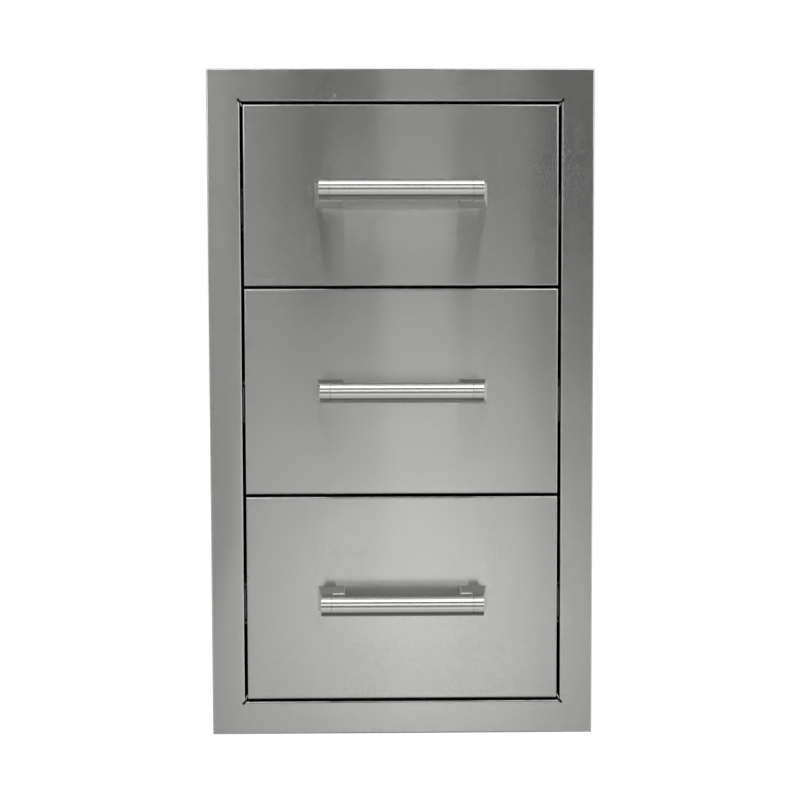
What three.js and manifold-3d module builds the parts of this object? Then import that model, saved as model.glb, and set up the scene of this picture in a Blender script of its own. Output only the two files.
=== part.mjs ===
// Outdoor kitchen drawer unit: three full-extension drawers in a folded stainless steel case,
// which slides into a cut-out in an island and is screwed to the island's framing.
// Millimetres. X runs to the right, Y into the island and Z up. The origin is on the underside
// of the case, midway across it, in the plane where the frame's rim meets the island's face.

import * as THREE from 'three';
import { mergeVertices } from 'three/addons/utils/BufferGeometryUtils.js';
import Module from 'manifold-3d';

const wasm = await Module();
wasm.setup();

// Face frame, the flange that covers the edge of the cut-out
const FRAME_WIDTH = 432;
const FRAME_HEIGHT = 749;
const SIDE_BORDER = 37;
const TOP_BORDER = 36.5;
const BOTTOM_BORDER = 37.5;
const FRAME_SHEET = 1.2;
const FRAME_BEND = 0.8;
const RIM_DEPTH = 12;
const INNER_RETURN = 25;
const RELIEF_WIDTH = 3;
const RELIEF_OFFSET = 0.4;

// Case behind the frame
const CASE_DEPTH = 508;
const CASE_SHEET = 1;
const CASE_BEND = 0.8;
const CASE_FLANGE = 13;
const REAR_FLANGE = 16;
const SWAGE_DEPTH = 5;
const SWAGE_HEIGHT = 60;
const SWAGE_COUNT = 3;
const CASE_SCREW_RADIUS = 2.6;
const CASE_SCREW_DEPTH = 7;

// Fit between pieces that seat on each other
const SEAT_GAP = 0.3;
const CUT_OVERRUN = 1;

// Drawer fronts
const REVEAL = 3;
const TOP_FRONT_HEIGHT = 201;
const FRONT_SHEET = 1.2;
const FRONT_BEND = 0.9;
const FRONT_DEPTH = 19;
const LINER_RETURN = 12;
const STIFFENER_HEIGHT = 42;
const STIFFENER_OVERHANG = 14;

// Drawer tubs
const TUB_SHEET = 1;
const TUB_BEND = 0.8;
const TUB_FLOOR_RISE = 18;
const TUB_TOP_DROP = 42;
const TUB_HEM = 8;
const TUB_HEM_LIP = 5;
const TUB_FLANGE = 7;
const TUB_BACK_RETURN = 12;
const REAR_CLEARANCE = 37.4;
const TUB_SETBACK = 6;
const TUB_BACK_SETBACK = 1;

// Handles
const HANDLE_LENGTH = 177.8;
const HANDLE_DIAMETER = 22;
const HANDLE_WALL = 1.5;
const HANDLE_REACH = 36;
const BRACKET_RING = 11.5;
const BRACKET_EDGE = 0.6;
const FOOT_WIDTH = 31;
const FOOT_HEIGHT = 27.5;
const FOOT_DEPTH = 19;
const FOOT_FLARE = 6.9;
const FOOT_CORNER = 1.5;
const ARM_HEIGHT = 19.8;
const SPIGOT_LENGTH = 10;
const HANDLE_SCREW_RADIUS = 2.6;
const BRACKET_TAP_RADIUS = 2.1;
const BRACKET_TAP_DEPTH = 13;

// Ball-bearing slides, measured in from the case wall and out from the slide's centre line
const SLIDE_HEIGHT = 45.5;
const SLIDE_THICKNESS = 12.7;
const TRACK_SHEET = 1.2;
const INNER_TRACK_SHEET = 1;
const TRACK_BEND = 0.8;
const TRACK_LIP = 2.4;
const MIDDLE_LIP = 1.4;
const CAGE_SHEET = 0.6;
const CAGE_PLAY = 0.5;
const LIP_PLAY = 0.6;
const OUTER_BALL = 3;
const INNER_BALL = 2.4;
const BALL_PLAY = 0.3;
const CAGE_LENGTH_SHARE = 0.44;
const BALLS_PER_ROW = 3;
const SLIDE_HOLE_RADIUS = 3.2;
const SLIDE_HOLE_SHARES = [0.09, 0.5, 0.91];

// Number of facets
const BEND_STEPS = 2;
const ROUND_STEPS = 24;
const HOLE_STEPS = 10;
const CORNER_STEPS = 2;
const BALL_SIDES = 5;
const BALL_RINGS = 3;

// Places that follow from the sizes
const FACE_Y = -RIM_DEPTH;
const RETURN_END_Y = FACE_Y + INNER_RETURN;
const FRAME_HALF = FRAME_WIDTH / 2;
const OPENING_HALF = FRAME_HALF - SIDE_BORDER;
const OPENING_LOW = CASE_SHEET + SEAT_GAP + FRAME_SHEET;
const OPENING_HIGH = OPENING_LOW + FRAME_HEIGHT - BOTTOM_BORDER - TOP_BORDER;
const FRAME_LOW = OPENING_LOW - BOTTOM_BORDER;
const FRAME_HIGH = OPENING_HIGH + TOP_BORDER;
const CASE_HALF = OPENING_HALF + FRAME_SHEET + SEAT_GAP + CASE_SHEET;
const CASE_TOP = OPENING_HIGH + FRAME_SHEET + SEAT_GAP + CASE_SHEET;
const CASE_START_Y = FACE_Y + FRAME_SHEET + FRAME_BEND;
const BACK_Y = CASE_DEPTH - CASE_SHEET - SEAT_GAP;
const FLANGE_FACE_X = CASE_HALF - CASE_SHEET - SEAT_GAP;

const FRONT_HALF = OPENING_HALF - REVEAL;
const LOWER_FRONT_HEIGHT = (OPENING_HIGH - OPENING_LOW - 4 * REVEAL - TOP_FRONT_HEIGHT) / 2;
const FRONT_BACK_Y = FACE_Y + FRONT_DEPTH;

const SLIDE_WALL_X = FLANGE_FACE_X;
const SLIDE_START_Y = RETURN_END_Y + SEAT_GAP;
const SLIDE_END_Y = BACK_Y - CASE_SHEET - SWAGE_DEPTH - REAR_CLEARANCE;
const SLIDE_LENGTH = SLIDE_END_Y - SLIDE_START_Y;
const TUB_START_Y = FRONT_BACK_Y + SEAT_GAP;
const TUB_END_Y = SLIDE_END_Y - TUB_SETBACK;
const TUB_HALF = SLIDE_WALL_X - SLIDE_THICKNESS;

const DRAWERS = [
  { name: 'bottom', low: OPENING_LOW + REVEAL, height: LOWER_FRONT_HEIGHT },
  { name: 'middle', low: OPENING_LOW + 2 * REVEAL + LOWER_FRONT_HEIGHT, height: LOWER_FRONT_HEIGHT },
  { name: 'top', low: OPENING_HIGH - REVEAL - TOP_FRONT_HEIGHT, height: TOP_FRONT_HEIGHT },
];
const SIDES = [
  { name: 'left', sign: -1 },
  { name: 'right', sign: 1 },
];

// Finishes
const brushedSteel = { color: 0xa9aaa7, roughness: 0.34, metalness: 1 };
const polishedSteel = { color: 0xc4c5c3, roughness: 0.22, metalness: 1 };
const castSteel = { color: 0xb4b5b3, roughness: 0.3, metalness: 1 };
const millSteel = { color: 0xb9bab8, roughness: 0.45, metalness: 1 };
const trackSteel = { color: 0xbfc1c2, roughness: 0.28, metalness: 1 };
const cageSteel = { color: 0xa3a5a6, roughness: 0.38, metalness: 1 };

function vector(x, y) {
  return new THREE.Vector2(x, y);
}

// Turns a closed mesh into a solid, with its faces pointing out
function solid(geometry) {
  const bare = geometry.clone();
  bare.deleteAttribute('normal');
  bare.deleteAttribute('uv');
  const merged = mergeVertices(bare);
  const place = merged.getAttribute('position').array;
  const corners = Uint32Array.from(merged.index.array);
  let volume = 0;
  for (let i = 0; i < corners.length; i += 3) {
    const [a, b, c] = [0, 1, 2].map((k) => new THREE.Vector3().fromArray(place, 3 * corners[i + k]));
    volume += a.dot(b.cross(c));
  }
  if (volume < 0) {
    corners.reverse();
  }
  return new wasm.Manifold(new wasm.Mesh({
    numProp: 3,
    vertProperties: Float32Array.from(place),
    triVerts: corners,
  }));
}

function surface(body) {
  const mesh = body.getMesh();
  const geometry = new THREE.BufferGeometry();
  geometry.setAttribute('position', new THREE.BufferAttribute(Float32Array.from(mesh.vertProperties), 3));
  geometry.setIndex(new THREE.BufferAttribute(Uint32Array.from(mesh.triVerts), 1));
  return geometry;
}

// Skin through rings of points that have the same count, joined end to end or capped
function loft(rings, closed) {
  const count = rings[0].length;
  const points = rings.flat().flatMap((point) => point.toArray());
  const faces = [];
  const bands = closed ? rings.length : rings.length - 1;
  for (let i = 0; i < bands; i += 1) {
    const here = i * count;
    const there = ((i + 1) % rings.length) * count;
    for (let j = 0; j < count; j += 1) {
      const k = (j + 1) % count;
      faces.push(here + j, here + k, there + k, here + j, there + k, there + j);
    }
  }
  if (!closed) {
    const last = (rings.length - 1) * count;
    for (let j = 1; j < count - 1; j += 1) {
      faces.push(0, j + 1, j, last, last + j, last + j + 1);
    }
  }
  const geometry = new THREE.BufferGeometry();
  geometry.setAttribute('position', new THREE.Float32BufferAttribute(points, 3));
  geometry.setIndex(faces);
  return geometry;
}

// Outline of a sheet that is folded along a path, which runs through the middle of the sheet
function foldedOutline(path, sheet, bend) {
  const left = [];
  const right = [];
  const half = sheet / 2;
  const across = (direction) => vector(-direction.y, direction.x);
  const room = (corner, other, last) => corner.distanceTo(other) * (last ? 1 : 1 / 2);
  path.forEach((corner, i) => {
    const before = path[i - 1] ?? corner;
    const after = path[i + 1] ?? corner;
    const arrive = corner.clone().sub(before).normalize();
    const leave = after.clone().sub(corner).normalize();
    if (before === corner || after === corner) {
      const normal = across(before === corner ? leave : arrive).multiplyScalar(half);
      left.push(corner.clone().add(normal));
      right.push(corner.clone().sub(normal));
      return;
    }
    const turn = Math.atan2(arrive.cross(leave), arrive.dot(leave));
    const sign = Math.sign(turn);
    const slope = Math.tan(Math.abs(turn) / 2);
    const space = Math.min(room(corner, before, i === 1), room(corner, after, i === path.length - 2));
    const middle = Math.min(bend + half, space / slope);
    const setback = middle * slope;
    const start = corner.clone().addScaledVector(arrive, -setback);
    const centre = start.clone().addScaledVector(across(arrive), sign * middle);
    for (let step = 0; step <= BEND_STEPS; step += 1) {
      const spoke = start.clone().sub(centre).normalize();
      spoke.rotateAround(vector(0, 0), (turn * step) / BEND_STEPS);
      left.push(centre.clone().addScaledVector(spoke, middle - sign * half));
      right.push(centre.clone().addScaledVector(spoke, middle + sign * half));
    }
  });
  return [...left, ...right.reverse()];
}

const AXES = {
  x: [new THREE.Vector3(0, 1, 0), new THREE.Vector3(0, 0, 1), new THREE.Vector3(1, 0, 0)],
  y: [new THREE.Vector3(0, 0, 1), new THREE.Vector3(1, 0, 0), new THREE.Vector3(0, 1, 0)],
  z: [new THREE.Vector3(1, 0, 0), new THREE.Vector3(0, 1, 0), new THREE.Vector3(0, 0, 1)],
};

// Prism along an axis. Its outline is drawn across Y and Z, Z and X, or X and Y.
function prism(axis, outline, start, end) {
  const geometry = new THREE.ExtrudeGeometry(new THREE.Shape(outline), {
    depth: end - start,
    bevelEnabled: false,
  });
  geometry.translate(0, 0, start);
  geometry.applyMatrix4(new THREE.Matrix4().makeBasis(...AXES[axis]));
  return solid(geometry);
}

// Round bar or hole along an axis, at a place that is given by its other two coordinates
function round(axis, place, radius, start, end, steps = HOLE_STEPS) {
  const outline = [];
  for (let i = 0; i < steps; i += 1) {
    const angle = (2 * Math.PI * i) / steps;
    outline.push(vector(radius * Math.cos(angle), radius * Math.sin(angle)).add(place));
  }
  return prism(axis, outline, start, end);
}

function rectangle(x0, x1, y0, y1) {
  return [vector(x0, y0), vector(x1, y0), vector(x1, y1), vector(x0, y1)];
}

function rectangleRing(half, low, high, y) {
  return [
    new THREE.Vector3(-half, y, low),
    new THREE.Vector3(half, y, low),
    new THREE.Vector3(half, y, high),
    new THREE.Vector3(-half, y, high),
  ];
}

function piece(name, body, finish) {
  const mesh = new THREE.Mesh(surface(body), new THREE.MeshStandardMaterial(finish));
  mesh.name = name;
  return mesh;
}

// Heights of the screws that hold the case: below each tub and above the top one, clear of
// the slides
function caseScrewHeights() {
  const above = OPENING_HIGH - REVEAL - TUB_TOP_DROP / 2;
  return [...DRAWERS.map((drawer) => drawer.low + TUB_FLOOR_RISE / 2), above];
}

// One border of the frame, as distance in from the frame's edge and depth
function borderSection(border) {
  const half = FRAME_SHEET / 2;
  const path = [
    vector(half, 0),
    vector(half, FACE_Y + half),
    vector(border - half, FACE_Y + half),
    vector(border - half, RETURN_END_Y),
  ];
  return foldedOutline(path, FRAME_SHEET, FRAME_BEND);
}

// Face frame: the border's section runs round the opening with mitred corners, and a slot
// frees the two returns from each other at each corner of the opening
function faceFrame() {
  const bottom = borderSection(BOTTOM_BORDER);
  const top = borderSection(TOP_BORDER);
  const rings = borderSection(SIDE_BORDER).map((point, i) => rectangleRing(
    FRAME_HALF - point.x,
    FRAME_LOW + bottom[i].x,
    FRAME_HIGH - top[i].x,
    point.y,
  ));
  let frame = solid(loft(rings, true));
  const reach = RELIEF_WIDTH / 2;
  for (const side of SIDES) {
    for (const [corner, up] of [[OPENING_LOW, -1], [OPENING_HIGH, 1]]) {
      const end = vector(corner + up * RELIEF_OFFSET, side.sign * (OPENING_HALF + RELIEF_OFFSET));
      const inward = vector(-up, -side.sign).normalize();
      const across = vector(-inward.y, inward.x).multiplyScalar(reach);
      const inner = end.clone().addScaledVector(inward, 2 * RELIEF_WIDTH);
      const slot = [
        end.clone().add(across),
        end.clone().sub(across),
        inner.clone().sub(across),
        inner.clone().add(across),
      ];
      frame = frame.subtract(prism('y', slot, FACE_Y - CUT_OVERRUN, RETURN_END_Y + CUT_OVERRUN));
      frame = frame.subtract(round('y', end, reach, FACE_Y - CUT_OVERRUN, RETURN_END_Y + CUT_OVERRUN));
    }
  }
  return drillCaseScrews(frame);
}

function drillCaseScrews(body) {
  return caseScrewHeights().reduce((rest, height) => rest.subtract(
    round('x', vector(CASE_SCREW_DEPTH, height), CASE_SCREW_RADIUS, -FRAME_HALF, FRAME_HALF),
  ), body);
}

// Side panel: a flat sheet with a flange turned in at the rear, which holds the back panel
function sidePanel(sign) {
  const middle = CASE_HALF - CASE_SHEET / 2;
  const rear = CASE_DEPTH - CASE_SHEET / 2;
  const path = [
    vector(sign * middle, CASE_START_Y),
    vector(sign * middle, rear),
    vector(sign * (CASE_HALF - REAR_FLANGE), rear),
  ];
  return drillCaseScrews(prism('z', foldedOutline(path, CASE_SHEET, CASE_BEND), 0, CASE_TOP));
}

// Top or bottom panel: a tray with flanges that lie inside the side panels and stop behind
// the frame's inner return
function levelPanel(outer, inward) {
  const middle = CASE_SHEET / 2;
  const side = FLANGE_FACE_X - middle;
  const path = [
    vector(outer + inward * CASE_FLANGE, -side),
    vector(outer + inward * middle, -side),
    vector(outer + inward * middle, side),
    vector(outer + inward * CASE_FLANGE, side),
  ];
  const tray = prism('y', foldedOutline(path, CASE_SHEET, CASE_BEND), CASE_START_Y, BACK_Y);
  const notchEdges = [outer + inward * CASE_SHEET, outer + inward * (CASE_FLANGE + CUT_OVERRUN)];
  const notch = rectangle(Math.min(...notchEdges), Math.max(...notchEdges), -FRAME_HALF, FRAME_HALF);
  return tray.subtract(prism('y', notch, CASE_START_Y - CUT_OVERRUN, RETURN_END_Y + SEAT_GAP));
}

// Back panel: a sheet stiffened by swages that are pressed towards the drawers
function backPanel() {
  const rear = BACK_Y - CASE_SHEET / 2;
  const low = CASE_SHEET + SEAT_GAP;
  const high = CASE_TOP - CASE_SHEET - SEAT_GAP;
  const spacing = (high - low) / SWAGE_COUNT;
  const path = [vector(rear, low)];
  for (let i = 0; i < SWAGE_COUNT; i += 1) {
    const centre = low + (i + 1 / 2) * spacing;
    path.push(vector(rear, centre - SWAGE_HEIGHT / 2));
    path.push(vector(rear - SWAGE_DEPTH, centre - SWAGE_HEIGHT / 2 + SWAGE_DEPTH));
    path.push(vector(rear - SWAGE_DEPTH, centre + SWAGE_HEIGHT / 2 - SWAGE_DEPTH));
    path.push(vector(rear, centre + SWAGE_HEIGHT / 2));
  }
  path.push(vector(rear, high));
  const half = FLANGE_FACE_X - CASE_SHEET - SEAT_GAP;
  return prism('x', foldedOutline(path, CASE_SHEET, CASE_BEND), -half, half);
}

// Pan: a flat plate with a return all round, from the plate's middle plane to the returns' edge
function pan(half, low, high, plateY, edgeY, sheet, bend) {
  const middle = sheet / 2;
  const path = [
    vector(2 * (sheet + bend), plateY),
    vector(middle, plateY),
    vector(middle, edgeY),
  ];
  const rings = foldedOutline(path, sheet, bend).map((point) => rectangleRing(
    half - point.x,
    low + point.x,
    high - point.x,
    point.y,
  ));
  return solid(loft(rings, false));
}

// Drawer parts are placed in their drawer's own group, whose zero height is the front's lower edge

function handleScrewX() {
  return HANDLE_LENGTH / 2 + FOOT_FLARE - FOOT_WIDTH / 2;
}

function drillHandleScrews(body, height) {
  return SIDES.reduce((rest, side) => rest.subtract(round(
    'y',
    vector(height / 2, side.sign * handleScrewX()),
    HANDLE_SCREW_RADIUS,
    FACE_Y - CUT_OVERRUN,
    FRONT_BACK_Y + CUT_OVERRUN,
  )), body);
}

function drawerFront(height) {
  const plateY = FACE_Y + FRONT_SHEET / 2;
  const skin = pan(FRONT_HALF, 0, height, plateY, FRONT_BACK_Y, FRONT_SHEET, FRONT_BEND);
  return drillHandleScrews(skin, height);
}

function frontLiner(height) {
  const inset = FRONT_SHEET + SEAT_GAP;
  const plateY = FRONT_BACK_Y - CASE_SHEET / 2;
  const edgeY = FRONT_BACK_Y - LINER_RETURN;
  const liner = pan(FRONT_HALF - inset, inset, height - inset, plateY, edgeY, CASE_SHEET, CASE_BEND);
  return drillHandleScrews(liner, height);
}

function frontStiffener(height) {
  const middle = CASE_SHEET / 2;
  const frontY = FACE_Y + FRONT_SHEET + SEAT_GAP + middle;
  const rearY = FRONT_BACK_Y - CASE_SHEET - SEAT_GAP;
  const low = (height - STIFFENER_HEIGHT) / 2 + middle;
  const high = (height + STIFFENER_HEIGHT) / 2 - middle;
  const path = [vector(rearY, low), vector(frontY, low), vector(frontY, high), vector(rearY, high)];
  const half = handleScrewX() + STIFFENER_OVERHANG;
  const channel = prism('x', foldedOutline(path, CASE_SHEET, CASE_BEND), -half, half);
  return drillHandleScrews(channel, height);
}

function tubTop(height) {
  return height - TUB_TOP_DROP;
}

// Tub: bottom and sides in one sheet, with hems turned in at the top. Three tabs, turned out at
// the front with notches between them at the corners, are welded to the liner.
function drawerTub(height) {
  const middle = TUB_SHEET / 2;
  const floor = TUB_FLOOR_RISE + middle;
  const rim = tubTop(height) - middle;
  const wall = TUB_HALF - middle;
  const hem = TUB_HALF - TUB_HEM;
  const path = [
    vector(rim - TUB_HEM_LIP, -hem),
    vector(rim, -hem),
    vector(rim, -wall),
    vector(floor, -wall),
    vector(floor, wall),
    vector(rim, wall),
    vector(rim, hem),
    vector(rim - TUB_HEM_LIP, hem),
  ];
  const trough = prism('y', foldedOutline(path, TUB_SHEET, TUB_BEND), TUB_START_Y, TUB_END_Y);
  const outer = TUB_HALF + TUB_FLANGE;
  const inner = TUB_HALF - TUB_SHEET;
  const notch = TUB_SHEET + TUB_BEND;
  const corner = TUB_HALF - notch;
  const sideLow = TUB_FLOOR_RISE + notch;
  const tabs = [
    rectangle(TUB_FLOOR_RISE - TUB_FLANGE, TUB_FLOOR_RISE + TUB_SHEET, -corner, corner),
    rectangle(sideLow, tubTop(height), -outer, -inner),
    rectangle(sideLow, tubTop(height), inner, outer),
  ];
  return tabs.reduce((rest, tab) => rest.add(
    prism('y', tab, TUB_START_Y, TUB_START_Y + TUB_SHEET),
  ), trough);
}

function tubBack(height) {
  const half = TUB_HALF - TUB_SHEET - SEAT_GAP;
  const low = TUB_FLOOR_RISE + TUB_SHEET + SEAT_GAP;
  const high = tubTop(height) - TUB_SHEET / 2 - TUB_HEM_LIP - SEAT_GAP;
  const edgeY = TUB_END_Y - TUB_BACK_SETBACK;
  const plateY = edgeY - TUB_BACK_RETURN + TUB_SHEET / 2;
  return pan(half, low, high, plateY, edgeY, TUB_SHEET, TUB_BEND);
}

// Handle parts are placed about the middle of the handle's bar

function turned(profile) {
  const geometry = new THREE.LatheGeometry(profile, ROUND_STEPS);
  geometry.rotateZ(-Math.PI / 2);
  return solid(geometry);
}

function handleTube() {
  const end = HANDLE_LENGTH / 2 - BRACKET_RING - SEAT_GAP;
  const outer = HANDLE_DIAMETER / 2;
  const inner = outer - HANDLE_WALL;
  return turned([
    vector(inner, -end),
    vector(outer, -end),
    vector(outer, end),
    vector(inner, end),
    vector(inner, -end),
  ]);
}

// Ring of a block with rounded corners, for the right-hand bracket
function blockRing(near, far, tall, y) {
  const ring = [];
  const corners = [[far, 1, 0], [near, 1, 1], [near, -1, 2], [far, -1, 3]];
  for (const [edge, up, quarter] of corners) {
    const inward = edge === far ? -1 : 1;
    for (let step = 0; step <= CORNER_STEPS; step += 1) {
      const angle = ((quarter + step / CORNER_STEPS) * Math.PI) / 2;
      ring.push(new THREE.Vector3(
        edge + inward * FOOT_CORNER + FOOT_CORNER * Math.cos(angle),
        y,
        up * (tall / 2 - FOOT_CORNER) + FOOT_CORNER * Math.sin(angle),
      ));
    }
  }
  return ring;
}

// Bracket: a cast foot with drafted sides, an arm at its outer end and a round head that
// carries on the tube's shape, with a spigot inside the tube
function handleBracket(sign) {
  const headEnd = HANDLE_LENGTH / 2;
  const headStart = headEnd - BRACKET_RING;
  const footFar = headEnd + FOOT_FLARE;
  const footNear = footFar - FOOT_WIDTH;
  const doorY = HANDLE_REACH - SEAT_GAP;
  const footY = HANDLE_REACH - FOOT_DEPTH;
  const flareAt = (y) => headEnd + (FOOT_FLARE * y) / HANDLE_REACH;
  const foot = loft([
    blockRing(footNear, footFar, FOOT_HEIGHT, doorY),
    blockRing(footNear, flareAt(footY), ARM_HEIGHT, footY),
  ], false);
  const arm = loft([
    blockRing(headStart, flareAt(doorY - FOOT_CORNER), ARM_HEIGHT, doorY - FOOT_CORNER),
    blockRing(headStart, flareAt(0), ARM_HEIGHT, 0),
  ], false);
  const radius = HANDLE_DIAMETER / 2;
  const spigot = radius - HANDLE_WALL - SEAT_GAP;
  const head = turned([
    vector(0, headStart - SPIGOT_LENGTH),
    vector(spigot - BRACKET_EDGE, headStart - SPIGOT_LENGTH),
    vector(spigot, headStart - SPIGOT_LENGTH + BRACKET_EDGE),
    vector(spigot, headStart),
    vector(radius, headStart),
    vector(radius, headEnd - BRACKET_EDGE),
    vector(radius - BRACKET_EDGE, headEnd),
    vector(0, headEnd),
  ]);
  const tap = round(
    'y',
    vector(0, handleScrewX()),
    BRACKET_TAP_RADIUS,
    doorY - BRACKET_TAP_DEPTH,
    doorY + CUT_OVERRUN,
  );
  const bracket = solid(foot).add(solid(arm)).add(head).subtract(tap);
  return sign > 0 ? bracket : bracket.mirror([1, 0, 0]);
}

// Slide tracks. Depths run in from the case wall, heights run up and down from the slide's centre.
const OUTER_WEB = TRACK_SHEET / 2;
const OUTER_EDGE = SLIDE_THICKNESS - TRACK_SHEET - SEAT_GAP;
const OUTER_RACE = SLIDE_HEIGHT / 2 - TRACK_SHEET;
const OUTER_CAGE_WEB = TRACK_SHEET + CAGE_PLAY + CAGE_SHEET / 2;
const MIDDLE_BACK = TRACK_SHEET + 2 * CAGE_PLAY + CAGE_SHEET;
const MIDDLE_TOP = OUTER_RACE - OUTER_BALL - 2 * BALL_PLAY;
const MIDDLE_RACE = MIDDLE_TOP - INNER_TRACK_SHEET;
const INNER_CAGE_WEB = MIDDLE_BACK + INNER_TRACK_SHEET + CAGE_PLAY + CAGE_SHEET / 2;
const INNER_START = INNER_CAGE_WEB + CAGE_SHEET / 2 + CAGE_PLAY;
const INNER_TOP = MIDDLE_RACE - INNER_BALL - 2 * BALL_PLAY;
const CAGE_EDGE = OUTER_EDGE - TRACK_SHEET - LIP_PLAY;
const CAGE_LENGTH = CAGE_LENGTH_SHARE * SLIDE_LENGTH;

// Channel with its web at one depth and its flanges running to another, with lips turned in
function channel(web, edge, top, lip, sheet) {
  const half = sheet / 2;
  const towards = Math.sign(edge - web);
  const flange = top - half;
  const lipDepth = edge - towards * half;
  const path = [
    vector(flange, lip > 0 ? lipDepth : edge),
    vector(flange, web),
    vector(-flange, web),
    vector(-flange, lip > 0 ? lipDepth : edge),
  ];
  if (lip > 0) {
    path.unshift(vector(flange - lip + half, lipDepth));
    path.push(vector(-flange + lip - half, lipDepth));
  }
  return foldedOutline(path, sheet, TRACK_BEND);
}

// Prism along the slide. Depths are turned to point in from the wall of the named side.
function track(outline, sign, start, end) {
  return prism('y', outline.map((point) => vector(point.x, -sign * point.y)), start, end);
}

function drillTrack(body) {
  return SLIDE_HOLE_SHARES.reduce((rest, share) => rest.subtract(round(
    'x',
    vector(share * SLIDE_LENGTH, 0),
    SLIDE_HOLE_RADIUS,
    -SLIDE_THICKNESS - CUT_OVERRUN,
    SLIDE_THICKNESS + CUT_OVERRUN,
  )), body);
}

function outerTrack(sign) {
  const outline = channel(OUTER_WEB, OUTER_EDGE, SLIDE_HEIGHT / 2, TRACK_LIP, TRACK_SHEET);
  return drillTrack(track(outline, sign, 0, SLIDE_LENGTH));
}

function middleTrack(sign) {
  const web = MIDDLE_BACK + INNER_TRACK_SHEET / 2;
  const outline = channel(web, OUTER_EDGE, MIDDLE_TOP, MIDDLE_LIP + INNER_TRACK_SHEET, INNER_TRACK_SHEET);
  return drillTrack(track(outline, sign, 0, SLIDE_LENGTH));
}

function innerTrack(sign) {
  const web = SLIDE_THICKNESS - SEAT_GAP - TRACK_SHEET / 2;
  const outline = channel(web, INNER_START, INNER_TOP, 0, TRACK_SHEET);
  return drillTrack(track(outline, sign, 0, SLIDE_LENGTH));
}

// Ball cage: a strip that wraps the back of the track inside it and holds a row of balls
// above and below
function ballCage(sign, web, row, ball, start) {
  const outline = channel(web, CAGE_EDGE, row + CAGE_SHEET / 2, 0, CAGE_SHEET);
  let cage = track(outline, sign, 0, CAGE_LENGTH);
  const depth = (start + CAGE_EDGE) / 2;
  for (let i = 0; i < BALLS_PER_ROW; i += 1) {
    for (const up of [-1, 1]) {
      const sphere = new THREE.SphereGeometry(ball / 2, BALL_SIDES, BALL_RINGS);
      sphere.rotateX(Math.PI / 2);
      sphere.translate(-sign * depth, ((i + 1 / 2) * CAGE_LENGTH) / BALLS_PER_ROW, up * row);
      cage = cage.add(solid(sphere));
    }
  }
  return cage;
}

function outerCage(sign) {
  return ballCage(sign, OUTER_CAGE_WEB, (OUTER_RACE + MIDDLE_TOP) / 2, OUTER_BALL, MIDDLE_BACK);
}

function innerCage(sign) {
  return ballCage(sign, INNER_CAGE_WEB, (MIDDLE_RACE + INNER_TOP) / 2, INNER_BALL, INNER_START);
}

// Assembly of one drawer with its handle and slides
function drawerGroup({ name, low, height }) {
  const drawer = new THREE.Group();
  drawer.position.z = low;
  drawer.add(piece(`front_${name}`, drawerFront(height), brushedSteel));
  drawer.add(piece(`front_liner_${name}`, frontLiner(height), millSteel));
  drawer.add(piece(`front_stiffener_${name}`, frontStiffener(height), millSteel));
  drawer.add(piece(`tub_${name}`, drawerTub(height), millSteel));
  drawer.add(piece(`tub_back_${name}`, tubBack(height), millSteel));

  const handle = new THREE.Group();
  handle.position.set(0, FACE_Y - HANDLE_REACH, height / 2);
  handle.add(piece(`handle_tube_${name}`, handleTube(), polishedSteel));
  for (const side of SIDES) {
    handle.add(piece(`handle_bracket_${name}_${side.name}`, handleBracket(side.sign), castSteel));
  }
  drawer.add(handle);

  for (const side of SIDES) {
    const slide = new THREE.Group();
    const ends = `${name}_${side.name}`;
    slide.position.set(side.sign * SLIDE_WALL_X, SLIDE_START_Y, (TUB_FLOOR_RISE + tubTop(height)) / 2);
    slide.add(piece(`slide_outer_${ends}`, outerTrack(side.sign), trackSteel));
    slide.add(piece(`slide_middle_${ends}`, middleTrack(side.sign), trackSteel));
    slide.add(piece(`slide_inner_${ends}`, innerTrack(side.sign), trackSteel));
    const cages = new THREE.Group();
    cages.position.y = (SLIDE_LENGTH - CAGE_LENGTH) / 2;
    cages.add(piece(`cage_outer_${ends}`, outerCage(side.sign), cageSteel));
    cages.add(piece(`cage_inner_${ends}`, innerCage(side.sign), cageSteel));
    slide.add(cages);
    drawer.add(slide);
  }
  return drawer;
}

const unit = new THREE.Group();
unit.add(piece('face_frame', faceFrame(), brushedSteel));
for (const side of SIDES) {
  unit.add(piece(`side_panel_${side.name}`, sidePanel(side.sign), millSteel));
}
unit.add(piece('bottom_panel', levelPanel(0, 1), millSteel));
unit.add(piece('top_panel', levelPanel(CASE_TOP, -1), millSteel));
unit.add(piece('back_panel', backPanel(), millSteel));
DRAWERS.forEach((drawer) => unit.add(drawerGroup(drawer)));

export default unit;
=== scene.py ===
# Outdoor kitchen drawer unit of folded stainless steel, dressed for rendering. Metres, in the
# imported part's own frame: X to the right, Y into the island, Z up.

import math

import bmesh
import bpy
from mathutils import Matrix, Vector


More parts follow.
